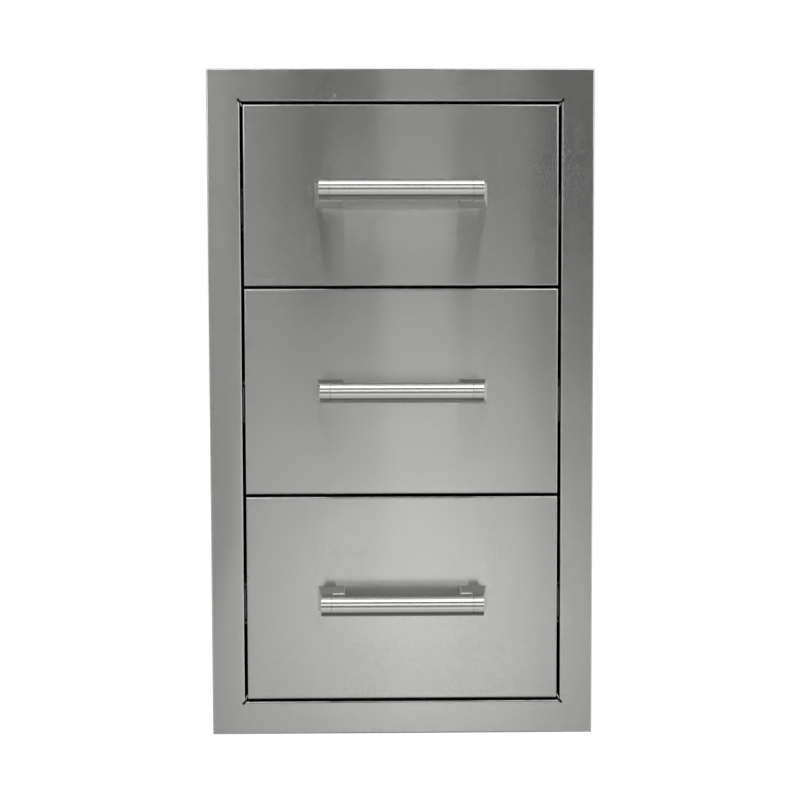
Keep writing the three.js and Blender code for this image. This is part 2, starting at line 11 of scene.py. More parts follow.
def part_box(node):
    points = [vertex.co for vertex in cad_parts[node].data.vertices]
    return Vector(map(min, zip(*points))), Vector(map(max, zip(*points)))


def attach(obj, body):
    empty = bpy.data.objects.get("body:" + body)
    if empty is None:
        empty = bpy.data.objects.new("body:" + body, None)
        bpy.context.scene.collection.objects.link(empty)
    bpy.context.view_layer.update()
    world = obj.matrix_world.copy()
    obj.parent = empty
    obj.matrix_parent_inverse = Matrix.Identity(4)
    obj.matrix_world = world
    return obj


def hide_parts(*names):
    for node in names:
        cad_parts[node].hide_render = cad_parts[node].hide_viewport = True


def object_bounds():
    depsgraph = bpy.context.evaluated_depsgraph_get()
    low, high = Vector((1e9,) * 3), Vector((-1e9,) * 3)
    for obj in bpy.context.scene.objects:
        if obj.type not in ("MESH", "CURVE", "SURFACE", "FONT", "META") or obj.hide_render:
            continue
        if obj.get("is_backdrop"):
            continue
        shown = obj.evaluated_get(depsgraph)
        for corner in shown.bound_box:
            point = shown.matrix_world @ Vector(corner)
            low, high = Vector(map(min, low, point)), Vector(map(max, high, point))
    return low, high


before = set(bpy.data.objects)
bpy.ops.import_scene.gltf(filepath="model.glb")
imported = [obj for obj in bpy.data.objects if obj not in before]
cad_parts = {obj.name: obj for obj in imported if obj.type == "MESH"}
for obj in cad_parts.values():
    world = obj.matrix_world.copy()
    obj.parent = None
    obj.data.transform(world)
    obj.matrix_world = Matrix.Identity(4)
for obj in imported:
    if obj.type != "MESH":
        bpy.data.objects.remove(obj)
cad_low, cad_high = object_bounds()

# Studio: the camera stands where the photograph was taken from, level with the middle drawer. The
# steel mirrors a grey room whose floor is lit in front of the unit, with softboxes overhead and
# beside the camera and pale walls at the sides. The floor and the backdrop are plain white.
CAMERA_PLACE = (-0.0136, -1.1349, 0.3942)
CAMERA_PITCH = -2.473
CAMERA_YAW = 0.597
CAMERA_ROLL = -0.159
LENS_MM = 45
SENSOR_MM = 36
FLOOR_SIZE = 14
FLOOR_WHITE = "F2F2F0"
GLOW_SHARE = 0.8
GLOW_LEVEL = 1.12
WHITE = (1, 1, 1, 1)


def colour(code):
    """Linear colour of an sRGB hex value."""
    shares = [int(code[i:i + 2], 16) / 255 for i in (0, 2, 4)]
    linear = [s / 12.92 if s <= 0.04045 else ((s + 0.055) / 1.055) ** 2.4 for s in shares]
    return (*linear, 1)


def add(tree, kind, inputs=None, **settings):
    """Adds a node with its settings, and sets or links its inputs."""
    made = tree.nodes.new(kind)
    for name, value in settings.items():
        setattr(made, name, value)
    for socket, value in (inputs or {}).items():
        if isinstance(value, bpy.types.Node):
            value = value.outputs[0]
        if isinstance(value, bpy.types.NodeSocket):
            tree.links.new(value, made.inputs[socket])
        else:
            made.inputs[socket].default_value = value
    return made


def between(tree, value, low, high, low_soft, high_soft):
    """1 between two soft edges, 0 outside them."""
    rise = add(tree, "ShaderNodeMapRange", {
        "Value": value, "From Min": low - low_soft / 2, "From Max": low + low_soft / 2,
    }, interpolation_type="SMOOTHSTEP")
    fall = add(tree, "ShaderNodeMapRange", {
        "Value": value, "From Min": high - high_soft / 2, "From Max": high + high_soft / 2,
        "To Min": 1.0, "To Max": 0.0,
    }, interpolation_type="SMOOTHSTEP")
    return add(tree, "ShaderNodeMath", {0: rise, 1: fall}, operation="MULTIPLY")


def ray_kinds(tree):
    """Whether a ray comes straight from the camera, and whether metal or glass sent it on."""
    rays = add(tree, "ShaderNodeLightPath")
    sent_on = add(tree, "ShaderNodeMath", {
        0: rays.outputs["Is Glossy Ray"], 1: rays.outputs["Is Transmission Ray"],
    }, operation="ADD")
    return rays.outputs["Is Camera Ray"], sent_on


scene = bpy.context.scene
scene.view_settings.view_transform = "Standard"
bpy.ops.object.select_all(action="DESELECT")
bpy.ops.object.camera_add()
camera = bpy.context.object
camera.data.lens = LENS_MM
camera.data.sensor_width = SENSOR_MM
camera.matrix_world = (
    Matrix.Translation(CAMERA_PLACE)
    @ Matrix.Rotation(math.radians(-CAMERA_YAW), 4, "Z")
    @ Matrix.Rotation(math.radians(90 + CAMERA_PITCH), 4, "X")
    @ Matrix.Rotation(math.radians(CAMERA_ROLL), 4, "Z")
)
scene.camera = camera

# Angles are in degrees: side is to the right of straight in front, and pitch goes from 0 at the
# horizon in front over 90 overhead to 180 at the horizon behind. A flat is an upright strip of the
# wall. A panel is a softbox or a patch of wall, which climbs by its lean for each degree to the
# right. The pool is the light on the floor, and the shade is the unit's own at its foot.
WALL_LEVEL = 0.30
WALL_FLATS = [
    {"left": -5.6, "right": -0.3, "soft": (4.5, 1.0), "level": 0.0},
    {"left": -0.3, "right": 3.6, "soft": (1.0, 1.0), "level": 0.27},
    {"left": 3.6, "right": 7.8, "soft": (1.0, 1.2), "level": 0.18},
    {"left": 7.8, "right": 26, "soft": (1.2, 4.0), "level": 0.0},
]
POOL_MIDDLE = 1.6
POOL_EDGE = 17
POOL_LEVEL = 2.15
POOL_PITCH = (-26.5, -14)
FLOOR_LEVEL = 0.7
SHADE_LEVEL = 0.15
SHADE_PITCH = (-70, -52)
COVE_PITCH = (-19, 11)
BACKDROP_LEVEL = 1.0
BACKDROP_Y = (-0.05, 0.1)
BACKDROP_Z = (-0.8, -0.6)
ROOM_PANELS = [
    {"left": -16, "right": -8.7, "low": -11, "high": 58, "soft": 0.8, "lean": 2.7, "level": 0.52},
    {"left": -3.4, "right": 3.8, "low": 5.8, "high": 9.8, "soft": 0.8, "lean": 0, "level": 0.9},
    {"left": -50, "right": -14, "low": 21, "high": 43, "soft": 3, "lean": 0, "level": 3.8},
    {"left": 14, "right": 50, "low": 19, "high": 41, "soft": 3, "lean": 0, "level": 3.8},
    {"left": 17, "right": 36, "low": -62, "high": -5, "soft": 4, "lean": 0, "level": 1.2},
    {"left": -62, "right": -17, "low": -62, "high": -5, "soft": 4, "lean": 0, "level": 1.2},
    {"left": 17, "right": 36, "low": -5, "high": 16, "soft": 3, "lean": 0, "level": 0.1},
    {"left": -62, "right": -17, "low": -4, "high": 18, "soft": 3, "lean": 0, "level": 0.1},
    {"left": 34, "right": 62, "low": -55, "high": 55, "soft": 5, "lean": 0, "level": 1.4},
    {"left": 62, "right": 89, "low": -55, "high": 55, "soft": 5, "lean": 0, "level": 2.4},
    {"left": -89, "right": -60, "low": -45, "high": 0, "soft": 6, "lean": 0, "level": 1.8},
    {"left": -89, "right": -60, "low": 3, "high": 45, "soft": 6, "lean": 0, "level": 0.4},
    {"left": -42, "right": 42, "low": 62, "high": 106, "soft": 3, "lean": 0, "level": 3.5},
]
world = bpy.data.worlds.new("studio")
scene.world = world
world.use_nodes = True
room = world.node_tree
room.nodes.clear()
axes = add(room, "ShaderNodeSeparateXYZ", {0: add(room, "ShaderNodeTexCoord").outputs["Generated"]})
sine = add(room, "ShaderNodeMath", {0: axes.outputs["X"]}, operation="ARCSINE")
side = add(room, "ShaderNodeMath", {0: sine}, operation="DEGREES")
ahead = add(room, "ShaderNodeMath", {0: axes.outputs["Y"], 1: -1.0}, operation="MULTIPLY")
slope = add(room, "ShaderNodeMath", {0: axes.outputs["Z"], 1: ahead}, operation="ARCTAN2")
pitch = add(room, "ShaderNodeMath", {0: slope}, operation="DEGREES")
wall = WALL_LEVEL
for flat in WALL_FLATS:
    mask = between(room, side, flat["left"], flat["right"], *flat["soft"])
    wall = add(room, "ShaderNodeMix", {0: mask, 2: wall, 3: flat["level"]})
off_middle = add(room, "ShaderNodeMath", {0: side, 1: POOL_MIDDLE}, operation="SUBTRACT")
distance = add(room, "ShaderNodeMath", {0: off_middle}, operation="ABSOLUTE")
level = add(room, "ShaderNodeMapRange", {
    "Value": distance, "From Min": 0.0, "From Max": POOL_EDGE,
    "To Min": POOL_LEVEL, "To Max": FLOOR_LEVEL,
}, interpolation_type="SMOOTHSTEP")
for pitches, lower_level in ((POOL_PITCH, FLOOR_LEVEL), (SHADE_PITCH, SHADE_LEVEL)):
    level = add(room, "ShaderNodeMapRange", {
        "Value": pitch, "From Min": pitches[0], "From Max": pitches[1],
        "To Min": lower_level, "To Max": level,
    }, interpolation_type="SMOOTHSTEP")
level = add(room, "ShaderNodeMapRange", {
    "Value": pitch, "From Min": COVE_PITCH[0], "From Max": COVE_PITCH[1],
    "To Min": level, "To Max": wall,
}, interpolation_type="SMOOTHSTEP")
for panel in ROOM_PANELS:
    leant = add(room, "ShaderNodeMath", {0: off_middle, 1: -panel["lean"], 2: pitch},
                operation="MULTIPLY_ADD")
    climb = panel["lean"] * (panel["right"] - POOL_MIDDLE)
    low = panel["low"] - climb
    high = panel["high"] - climb
    mask = add(room, "ShaderNodeMath", {
        0: between(room, side, panel["left"], panel["right"], panel["soft"], panel["soft"]),
        1: between(room, leant, low, high, panel["soft"], panel["soft"]),
    }, operation="MULTIPLY")
    level = add(room, "ShaderNodeMix", {0: mask, 2: level, 3: panel["level"]})
rear = add(room, "ShaderNodeMapRange", {
    "Value": axes.outputs["Y"], "From Min": BACKDROP_Y[0], "From Max": BACKDROP_Y[1],
}, interpolation_type="SMOOTHSTEP")
aloft = add(room, "ShaderNodeMapRange", {
    "Value": axes.outputs["Z"], "From Min": BACKDROP_Z[0], "From Max": BACKDROP_Z[1],
}, interpolation_type="SMOOTHSTEP")
behind = add(room, "ShaderNodeMath", {0: rear, 1: aloft}, operation="MULTIPLY")
level = add(room, "ShaderNodeMix", {0: behind, 2: level, 3: BACKDROP_LEVEL})
from_camera, sent_on = ray_kinds(room)
backdrop = add(room, "ShaderNodeMath", {0: sent_on, 1: behind, 2: from_camera},
               operation="MULTIPLY_ADD", use_clamp=True)
room_light = add(room, "ShaderNodeBackground", {"Strength": level})
plain_white = add(room, "ShaderNodeBackground", {"Strength": 1.0, "Color": WHITE})
shown = add(room, "ShaderNodeMixShader", {0: backdrop, 1: room_light, 2: plain_white})
add(room, "ShaderNodeOutputWorld", {"Surface": shown})

bpy.ops.mesh.primitive_plane_add(size=FLOOR_SIZE, location=(0, 0, cad_low.z))
floor = bpy.context.object
floor.name = "floor"
floor.visible_glossy = False
# Matt painted studio floor: it shows as plain white and keeps the unit's shadow.
pale = bpy.data.materials.new("pale_floor")
pale.use_nodes = True
tree = pale.node_tree
tree.nodes.clear()
from_camera, sent_on = ray_kinds(tree)
seen = add(tree, "ShaderNodeMath", {0: from_camera, 1: sent_on}, operation="ADD", use_clamp=True)
share = add(tree, "ShaderNodeMath", {0: seen, 1: GLOW_SHARE}, operation="MULTIPLY")
matt = add(tree, "ShaderNodeBsdfDiffuse", {"Color": colour(FLOOR_WHITE)})
glow = add(tree, "ShaderNodeEmission", {"Color": WHITE, "Strength": GLOW_LEVEL})
add(tree, "ShaderNodeOutputMaterial", {
    "Surface": add(tree, "ShaderNodeMixShader", {0: share, 1: matt, 2: glow}),
})
floor.data.materials.append(pale)
floor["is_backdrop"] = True

# Face frame: one stainless sheet, folded to a flange round the opening with an outer rim and an
# inner return. Slots cut at the corners of the opening let both returns fold.
SIDE_BORDER = 0.037
TOP_BORDER = 0.0365
BOTTOM_BORDER = 0.0375
FRAME_SHEET = 0.0012
FRAME_OUTER_BEND = 0.002
RIM_DEPTH = 0.012
BEND_SEGMENTS = 5
SLOT_WIDTH = 0.003
SLOT_LENGTH = 0.006
SLOT_OFFSET = 0.0018
SLOT_SIDES = 32
SLOT_SLANT = 0.2
CUT_OVERRUN = 0.001
SMOOTH_ANGLE = 32
TOLERANCE = 1e-5
STEEL_GREY = "BEBEBC"
# The dark grey of the slot walls is partly laser heat tint and partly painted shade of the deep slots.
CUT_GREY = "4A4844"


def select(domain, test):
    """Selects the parts of the shape in edit mode that pass a test."""
    bpy.ops.mesh.select_mode(type=domain)
    bpy.ops.mesh.select_all(action="DESELECT")
    shape = bmesh.from_edit_mesh(bpy.context.object.data)
    parts = {"VERT": shape.verts, "EDGE": shape.edges, "FACE": shape.faces}[domain]
    for part in parts:
        if test(part):
            part.select_set(True)
    bmesh.update_edit_mesh(bpy.context.object.data)


def near(a, b):
    return abs(a - b) < TOLERANCE


def all_ends(test):
    """Test for an edge, that both its ends pass a test on their place."""
    return lambda edge: all(test(vertex.co) for vertex in edge.verts)


def apply_modifier(piece, kind, **settings):
    """Adds a modifier with its settings and applies it."""
    modifier = piece.modifiers.new(kind, kind)
    for name, value in settings.items():
        setattr(modifier, name, value)
    bpy.context.view_layer.objects.active = piece
    bpy.ops.object.modifier_apply(modifier=modifier.name)


def make_active(piece):
    bpy.ops.object.select_all(action="DESELECT")
    piece.select_set(True)
    bpy.context.view_layer.objects.active = piece


def cut(piece, cutter, operation="DIFFERENCE"):
    """Cuts the cutter out of the piece, or joins it on, and removes the cutter."""
    apply_modifier(piece, "BOOLEAN", operation=operation, object=cutter, solver="EXACT")
    bpy.data.objects.remove(cutter)


def smooth(piece):
    """Smooth bends and rounded edges beside flat faces."""
    make_active(piece)
    bpy.ops.object.shade_smooth_by_angle(angle=math.radians(SMOOTH_ANGLE))
    apply_modifier(piece, "WEIGHTED_NORMAL", keep_sharp=True)


def flat_sheet(name, low, high, y):
    """A flat sheet that faces the user, left in edit mode."""
    bpy.ops.object.select_all(action="DESELECT")
    middle = (low + high) / 2
    bpy.ops.mesh.primitive_plane_add(
        size=1, location=(middle.x, y, middle.z), rotation=(math.pi / 2, 0, 0))
    piece = bpy.context.object
    piece.name = name
    bpy.ops.object.mode_set(mode="EDIT")
    bpy.ops.transform.resize(value=(high.x - low.x, 1, high.z - low.z))
    bpy.ops.object.mode_set(mode="OBJECT")
    bpy.ops.object.transform_apply(location=True, rotation=True, scale=True)
    bpy.ops.object.mode_set(mode="EDIT")
    return piece


def new_metal(name):
    """An empty material, its nodes, and the place on the piece that its patterns go by."""
    metal = bpy.data.materials.new(name)
    metal.use_nodes = True
    tree = metal.node_tree
    tree.nodes.clear()
    return metal, tree, add(tree, "ShaderNodeTexCoord").outputs["Object"]


def brushed_sheet():
    """Stainless sheet with a No. 4 finish. The belt leaves fine level scratches whose sides tilt up
    and down, so reflections are drawn out up and down and keep sharp edges at left and right.
    Real scratches are some 0.01 mm high and are drawn four times coarser, the streaks of the belt
    are about 1 mm high, and a slow ripple shows that the sheet is never quite flat."""
    metal, tree, place = new_metal("brushed_stainless_sheet")
    streak_length = 0.09
    streak_height = 0.0009
    streak_depth = 0.000004
    streak_tint = 0.025
    ripple_size = 0.14
    ripple_depth = 0.0004
    scratch_length = 0.0015
    scratch_height = 0.00004
    rising_side = (0.56, 0.86)
    falling_side = (0.14, 0.44)
    steepest_slope = 1.0
    along = 1 / streak_length
    across = 1 / streak_height
    drawn = add(tree, "ShaderNodeMapping", {"Vector": place, "Scale": (along, along, across)})
    streaks = add(tree, "ShaderNodeTexNoise", {"Vector": drawn, "Scale": 1.0, "Detail": 3.0})
    tint = add(tree, "ShaderNodeMapRange", {
        "Value": streaks, "To Min": 1 - streak_tint, "To Max": 1 + streak_tint,
    })
    base = add(tree, "ShaderNodeVectorMath", {
        0: colour(STEEL_GREY)[:3], "Scale": tint,
    }, operation="SCALE")
    scratches = add(tree, "ShaderNodeMapping", {
        "Vector": place, "Scale": (1 / scratch_length, 1 / scratch_length, 1 / scratch_height),
    })
    depth = add(tree, "ShaderNodeTexNoise", {"Vector": scratches, "Scale": 1.0, "Detail": 0.0})
    rising = add(tree, "ShaderNodeMapRange", {
        "Value": depth, "From Min": rising_side[0], "From Max": rising_side[1],
        "To Min": 0.0, "To Max": steepest_slope,
    }, interpolation_type="SMOOTHSTEP")
    falling = add(tree, "ShaderNodeMapRange", {
        "Value": depth, "From Min": falling_side[0], "From Max": falling_side[1],
        "To Min": -steepest_slope, "To Max": 0.0,
    }, interpolation_type="SMOOTHSTEP")
    slope = add(tree, "ShaderNodeMath", {0: rising, 1: falling}, operation="ADD")
    tilt = add(tree, "ShaderNodeCombineXYZ", {"Z": slope})
    ripple = add(tree, "ShaderNodeTexNoise", {"Vector": place, "Scale": 1 / ripple_size, "Detail": 1.0})
    wavy = add(tree, "ShaderNodeBump", {"Height": ripple, "Distance": ripple_depth, "Strength": 1.0})
    streaked = add(tree, "ShaderNodeBump", {
        "Height": streaks, "Distance": streak_depth, "Strength": 1.0, "Normal": wavy,
    })
    tilted = add(tree, "ShaderNodeVectorMath", {0: streaked, 1: tilt}, operation="ADD")
    facet = add(tree, "ShaderNodeVectorMath", {0: tilted}, operation="NORMALIZE")
    # The upward way leans a little, so that it has a direction on level faces too.
    upward = add(tree, "ShaderNodeCombineXYZ", {"Y": 0.01, "Z": 1.0})
    shader = add(tree, "ShaderNodeBsdfPrincipled", {
        "Base Color": base, "Metallic": 1.0, "Roughness": 0.11, "Anisotropic": 1.0,
        "Tangent": upward, "Normal": facet,
    })
    add(tree, "ShaderNodeOutputMaterial", {"Surface": shader})
    return metal


def laser_cut_edge():
    """Edge left by the laser in a slot: dull, dark partly from the heat and partly as painted shade of
    the deep slot, with faint drag lines.
    """
    metal, tree, place = new_metal("laser_cut_edge")
    drag_spacing = 0.0004
    drag = add(tree, "ShaderNodeTexNoise", {"Vector": place, "Scale": 1 / drag_spacing})
    tint = add(tree, "ShaderNodeMapRange", {"Value": drag, "To Min": 0.7, "To Max": 1.2})
    base = add(tree, "ShaderNodeVectorMath", {
        0: colour(CUT_GREY)[:3], "Scale": tint,
    }, operation="SCALE")
    shader = add(tree, "ShaderNodeBsdfPrincipled", {
        "Base Color": base, "Metallic": 1.0, "Roughness": 0.6,
    })
    add(tree, "ShaderNodeOutputMaterial", {"Surface": shader})
    return metal


brushed_steel = brushed_sheet()
frame_low, frame_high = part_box("face_frame")
opening_low = Vector((frame_low.x + SIDE_BORDER, frame_low.y, frame_low.z + BOTTOM_BORDER))
opening_high = Vector((frame_high.x - SIDE_BORDER, frame_low.y, frame_high.z - TOP_BORDER))


def on_rim(place):
    """Whether a place on the flange is on its outer edge."""
    return (near(abs(place.x), frame_high.x) or near(place.z, frame_low.z)
            or near(place.z, frame_high.z))


def on_opening(place):
    """Whether a place on the flange is on the edge of the opening."""
    inside_x = abs(place.x) < opening_high.x + TOLERANCE
    inside_z = opening_low.z - TOLERANCE < place.z < opening_high.z + TOLERANCE
    return inside_x and inside_z


def on_face(place):
    return near(place.y, frame_low.y)


face_frame = flat_sheet("face_frame_sheet", frame_low, frame_high, frame_low.y)
bpy.ops.mesh.select_all(action="SELECT")
bpy.ops.mesh.inset(thickness=SIDE_BORDER)
bpy.ops.mesh.delete(type="FACE")
select("VERT", lambda v: near(v.co.z, frame_low.z + SIDE_BORDER))
bpy.ops.transform.translate(value=(0, 0, BOTTOM_BORDER - SIDE_BORDER))
select("VERT", lambda v: near(v.co.z, frame_high.z - SIDE_BORDER))
bpy.ops.transform.translate(value=(0, 0, SIDE_BORDER - TOP_BORDER))
select("EDGE", all_ends(on_rim))
bpy.ops.mesh.extrude_region_move(TRANSFORM_OT_translate={"value": (0, RIM_DEPTH, 0)})
select("EDGE", all_ends(on_opening))
frame_depth = frame_high.y - frame_low.y
bpy.ops.mesh.extrude_region_move(TRANSFORM_OT_translate={"value": (0, frame_depth, 0)})
select("EDGE", lambda e: all_ends(on_face)(e) and (all_ends(on_rim)(e) or all_ends(on_opening)(e)))
bpy.ops.mesh.bevel(offset=FRAME_OUTER_BEND, segments=BEND_SEGMENTS, affect="EDGES")
bpy.ops.object.mode_set(mode="OBJECT")
apply_modifier(face_frame, "SOLIDIFY", thickness=FRAME_SHEET, offset=-1, use_even_offset=True)
for side in (-1, 1):
    for corner_z, up in ((opening_low.z, -1), (opening_high.z, 1)):
        end = Vector((side * (opening_high.x + SLOT_OFFSET), frame_low.y, corner_z + up * SLOT_OFFSET))
        inward = Vector((-side, 0, -up)).normalized()
        deep = frame_depth + 2 * CUT_OVERRUN
        bpy.ops.object.select_all(action="DESELECT")
        bpy.ops.mesh.primitive_cylinder_add(
            vertices=SLOT_SIDES, radius=SLOT_WIDTH / 2, depth=deep, rotation=(math.pi / 2, 0, 0),
            location=end + Vector((0, deep / 2 - CUT_OVERRUN, 0)))
        slot = bpy.context.object
        bpy.ops.object.transform_apply(location=True, rotation=True, scale=True)
        bpy.ops.object.mode_set(mode="EDIT")
        # The half of the round cutter that is nearer the opening is drawn out to a slot.
        select("VERT", lambda v: (v.co - end).dot(inward) > SLOT_WIDTH / 8)
        bpy.ops.transform.translate(value=SLOT_LENGTH * inward)
        bpy.ops.object.mode_set(mode="OBJECT")
        cut(face_frame, slot)
smooth(face_frame)
face_frame.data.materials.append(brushed_steel)
# The slot walls get a dark finish that is partly heat tint and partly painted shade.
face_frame.data.materials.append(laser_cut_edge())
# Only the walls of the slots face slantwise.
for face in face_frame.data.polygons:
    if min(abs(face.normal.x), abs(face.normal.z)) > SLOT_SLANT:
        face.material_index = 1
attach(face_frame, "case")
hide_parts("face_frame")

# Corner welds: a small bead of stainless weld metal behind each relief slot closes the corner of the
# folded frame. It is left as welded. It is dark partly from the heat and partly as painted shade of the
# hollow that shows through the slot.
WELD_RADIUS = 0.0042
WELD_HALF_HEIGHT = 0.0011
WELD_SEGMENTS = 24
WELD_RINGS = 12
# Very dark grey: partly weld heat tint, partly painted shade of the hollow behind the slot.
WELD_GREY = "34322F"


def weld_bead():
    """Stainless weld metal, dull, dark partly from the heat and partly as painted shade seen through
    the slot, with a rippled skin.
    """
    metal, tree, place = new_metal("heat_tinted_weld_bead")
    ripple_size = 0.0008
    ripple_depth = 0.0001
    skin = add(tree, "ShaderNodeTexNoise", {"Vector": place, "Scale": 1 / ripple_size, "Detail": 2.0})
    tint = add(tree, "ShaderNodeMapRange", {"Value": skin, "To Min": 0.5, "To Max": 1.4})
    base = add(tree, "ShaderNodeVectorMath", {
        0: colour(WELD_GREY)[:3], "Scale": tint,
    }, operation="SCALE")
    ripples = add(tree, "ShaderNodeBump", {"Height": skin, "Distance": ripple_depth, "Strength": 1.0})
    shader = add(tree, "ShaderNodeBsdfPrincipled", {
        "Base Color": base, "Metallic": 1.0, "Roughness": 0.55, "Normal": ripples,
    })
    add(tree, "ShaderNodeOutputMaterial", {"Surface": shader})
    return metal


weld_steel = weld_bead()
# The bead is sunk into the back of the sheet by most of its front half.
weld_y = frame_low.y + FRAME_SHEET + WELD_HALF_HEIGHT / 4
weld_places = {
    "bottom_left": (opening_low.x - SLOT_OFFSET, opening_low.z - SLOT_OFFSET),
    "bottom_right": (opening_high.x + SLOT_OFFSET, opening_low.z - SLOT_OFFSET),
    "top_left": (opening_low.x - SLOT_OFFSET, opening_high.z + SLOT_OFFSET),
    "top_right": (opening_high.x + SLOT_OFFSET, opening_high.z + SLOT_OFFSET),
}
for corner, (corner_x, corner_z) in weld_places.items():
    bpy.ops.object.select_all(action="DESELECT")
    bpy.ops.mesh.primitive_uv_sphere_add(
        segments=WELD_SEGMENTS, ring_count=WELD_RINGS, radius=WELD_RADIUS,
        location=(corner_x, weld_y, corner_z))
    bead = bpy.context.object
    bead.name = f"corner_weld_{corner}"
    bead.scale.y = WELD_HALF_HEIGHT / WELD_RADIUS
    bpy.ops.object.transform_apply(location=True, rotation=True, scale=True)
    bpy.ops.object.shade_smooth()
    bead.data.materials.append(weld_steel)
    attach(bead, "case")

# Case panels: plain rolled stainless sheet, folded and spot welded together behind the frame.
# The back panel is stiffened by pressed swages.
CASE_PANELS = ["side_panel_left", "side_panel_right", "bottom_panel", "top_panel", "back_panel"]
MILL_GREY = "B6B7B5"


def mill_sheet():
    """Stainless sheet with a 2B mill finish: cold rolled and pickled, so it is an even, dull grey
    with a faint cloudiness and a trace of the rolling direction."""
    metal, tree, place = new_metal("mill_finish_sheet")
    cloud_size = 0.05
    line_length = 0.2
    line_width = 0.004
    line_share = 0.4
    ripple_size = 0.16
    ripple_depth = 0.0008
    cloud = add(tree, "ShaderNodeTexNoise", {"Vector": place, "Scale": 1 / cloud_size, "Detail": 5.0})
    rolled = add(tree, "ShaderNodeMapping", {
        "Vector": place, "Scale": (1 / line_width, 1 / line_length, 1 / line_width),
    })
    lines = add(tree, "ShaderNodeTexNoise", {"Vector": rolled, "Scale": 1.0, "Detail": 2.0})
    both = add(tree, "ShaderNodeMix", {0: line_share, 2: cloud, 3: lines})
    tint = add(tree, "ShaderNodeMapRange", {
        "Value": both, "From Min": 0.3, "From Max": 0.7, "To Min": 0.93, "To Max": 1.05,
    })
    base = add(tree, "ShaderNodeVectorMath", {
        0: colour(MILL_GREY)[:3], "Scale": tint,
    }, operation="SCALE")
    rough = add(tree, "ShaderNodeMapRange", {"Value": both, "To Min": 0.34, "To Max": 0.46})
    ripple = add(tree, "ShaderNodeTexNoise", {"Vector": place, "Scale": 1 / ripple_size, "Detail": 1.0})
    wavy = add(tree, "ShaderNodeBump", {"Height": ripple, "Distance": ripple_depth, "Strength": 1.0})
    shader = add(tree, "ShaderNodeBsdfPrincipled", {
        "Base Color": base, "Metallic": 1.0, "Roughness": rough, "Normal": wavy,
    })
    add(tree, "ShaderNodeOutputMaterial", {"Surface": shader})
    return metal


def finish_node(name, metal):
    """Gives a CAD node, whose shape is kept, the finish of the real metal."""
    for material_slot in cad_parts[name].material_slots:
        material_slot.material = metal


mill_steel = mill_sheet()
for name in CASE_PANELS:
    finish_node(name, mill_steel)

# Drawer fronts: brushed sheet folded back on all four sides to a pan, which closes flush with
# the face frame.
DRAWERS = ["bottom", "middle", "top"]
FRONT_SHEET = 0.0012
FRONT_OUTER_BEND = 0.0021
for drawer in DRAWERS:
    low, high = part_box(f"front_{drawer}")
    front = flat_sheet(f"front_{drawer}_sheet", low, high, low.y)
    select("EDGE", lambda edge: True)
    bpy.ops.mesh.extrude_region_move(TRANSFORM_OT_translate={"value": (0, high.y - low.y, 0)})
    select("EDGE", all_ends(lambda place: near(place.y, low.y)))
    bpy.ops.mesh.bevel(offset=FRONT_OUTER_BEND, segments=BEND_SEGMENTS, affect="EDGES")
    bpy.ops.object.mode_set(mode="OBJECT")
    apply_modifier(front, "SOLIDIFY", thickness=FRONT_SHEET, offset=-1, use_even_offset=True)
    smooth(front)
    front.data.materials.append(brushed_steel)
    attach(front, f"drawer_{drawer}")
    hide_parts(f"front_{drawer}")

# Liners, stiffeners and tubs: plain rolled sheet, folded and spot welded. The liner closes the
# front's back, the stiffener between them takes the handle's screws.
for drawer in DRAWERS:
    for name in ("front_liner", "front_stiffener", "tub", "tub_back"):
        finish_node(f"{name}_{drawer}", mill_steel)

# Handle tubes: stainless tube, cut to length with its edges broken, then turned and polished. It is
# held between the heads of two cast brackets.
TUBE_WALL = 0.0015
TUBE_SIDES = 96
TUBE_EDGE = 0.0003
TUBE_EDGE_ANGLE = 50
TUBE_EDGE_SEGMENTS = 2
POLISHED_GREY = "CDCECB"


def polished_tube():
    """Stainless tube with a fine turned polish. Its marks run round it, so its bright lines stay
    sharp along its length. They are really about 0.05 mm apart, and are drawn as 0.8 mm."""
    metal, tree, place = new_metal("polished_stainless_tube")
    mark_width = 0.0008
    mark_length = 0.02
    turned = add(tree, "ShaderNodeMapping", {
        "Vector": place, "Scale": (1 / mark_width, 1 / mark_length, 1 / mark_length),
    })
    marks = add(tree, "ShaderNodeTexNoise", {"Vector": turned, "Scale": 1.0, "Detail": 2.0})
    tint = add(tree, "ShaderNodeMapRange", {"Value": marks, "To Min": 0.97, "To Max": 1.03})
    base = add(tree, "ShaderNodeVectorMath", {
        0: colour(POLISHED_GREY)[:3], "Scale": tint,
    }, operation="SCALE")
    rough = add(tree, "ShaderNodeMapRange", {"Value": marks, "To Min": 0.27, "To Max": 0.31})
    lengthways = add(tree, "ShaderNodeCombineXYZ", {"X": 1.0})
    shader = add(tree, "ShaderNodeBsdfPrincipled", {
        "Base Color": base, "Metallic": 1.0, "Roughness": rough, "Anisotropic": 1.0,
        "Tangent": lengthways,
    })
    add(tree, "ShaderNodeOutputMaterial", {"Surface": shader})
    return metal


polished_steel = polished_tube()
for drawer in DRAWERS:
    low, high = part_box(f"handle_tube_{drawer}")
    bpy.ops.object.select_all(action="DESELECT")
    bpy.ops.mesh.primitive_cylinder_add(
        vertices=TUBE_SIDES, radius=(high.z - low.z) / 2, depth=high.x - low.x,
        end_fill_type="NOTHING", location=(low + high) / 2, rotation=(0, math.pi / 2, 0))
    tube = bpy.context.object
    tube.name = f"handle_tube_{drawer}_turned"
    bpy.ops.object.transform_apply(location=True, rotation=True, scale=True)
    apply_modifier(tube, "SOLIDIFY", thickness=TUBE_WALL, offset=-1, use_even_offset=True)
    apply_modifier(tube, "BEVEL", width=TUBE_EDGE, segments=TUBE_EDGE_SEGMENTS, limit_method="ANGLE",
                   angle_limit=math.radians(TUBE_EDGE_ANGLE))
    smooth(tube)
    tube.data.materials.append(polished_steel)
    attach(tube, f"drawer_{drawer}")
    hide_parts(f"handle_tube_{drawer}")

